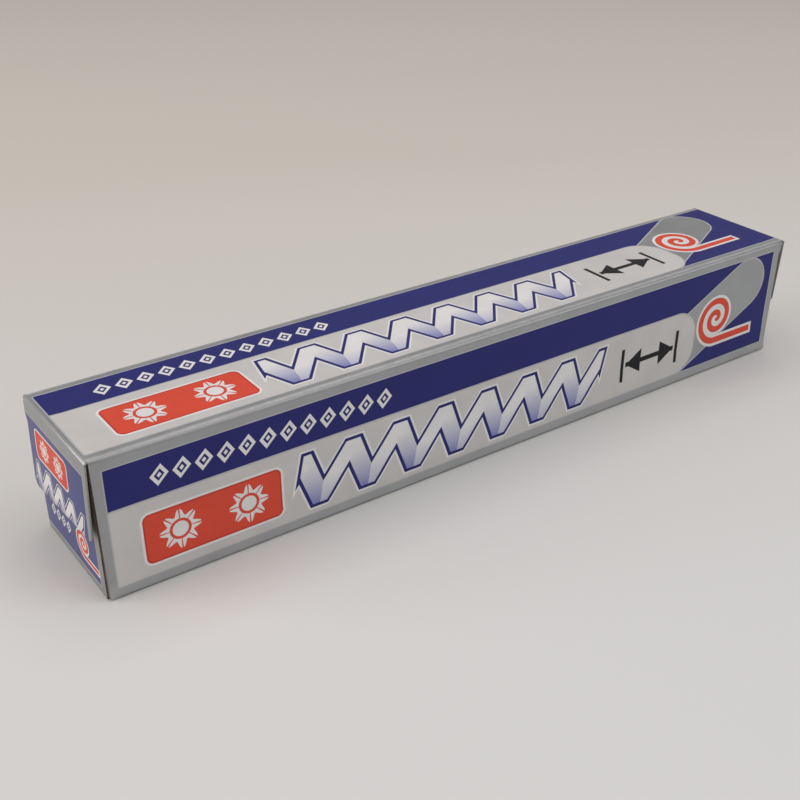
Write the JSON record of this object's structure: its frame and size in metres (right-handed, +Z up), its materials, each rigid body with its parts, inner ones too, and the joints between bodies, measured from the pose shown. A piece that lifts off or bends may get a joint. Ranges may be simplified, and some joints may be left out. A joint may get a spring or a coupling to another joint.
{
  "type": "boxed aluminium foil roll",
  "caption": "Closed long board carton with a lid, front flap and end flaps that fold open, holding household foil on a paper core and a toothed cutter strip.",
  "frame": {"origin": "centre of the closed carton's base, on the surface it lies on", "axes": "+X along the carton to the right as seen from the front, +Y from the front flap to the lid's fold, +Z up"},
  "size_m": [0.2598, 0.0422, 0.0421],
  "materials": {
    "printed_board": "coated one side, printed in silver, deep blue, pale grey and red, satin gloss",
    "cutter_steel": "bright rolled strip",
    "foil": "bright rolled foil",
    "core_paper": "plain spiral wound paper"
  },
  "bodies": {
    "tray": {"carton_tray": "printed_board", "foil_roll": "foil", "core_tube": "core_paper"},
    "lid": {"lid_panel": "printed_board"},
    "front": {"front_flap": "printed_board", "cutter_strip": "cutter_steel"},
    "left_end": {"left_end_flap": "printed_board"},
    "right_end": {"right_end_flap": "printed_board"}
  },
  "joints": [
    {"name": "lid_fold", "type": "hinge", "parent": "tray", "child": "lid", "pos_m": [0, 0.02061, 0.04167], "axis": [-1, 0, 0], "range_deg": [0, 110]},
    {"name": "front_fold", "type": "hinge", "parent": "lid", "child": "front", "pos_m": [0, -0.02061, 0.04167], "axis": [-1, 0, 0], "range_deg": [0, 90]},
    {"name": "left_end_fold", "type": "hinge", "parent": "lid", "child": "left_end", "pos_m": [-0.12855, 0, 0.04167], "axis": [0, 1, 0], "range_deg": [0, 90]},
    {"name": "right_end_fold", "type": "hinge", "parent": "lid", "child": "right_end", "pos_m": [0.12855, 0, 0.04167], "axis": [0, -1, 0], "range_deg": [0, 90]}
  ]
}
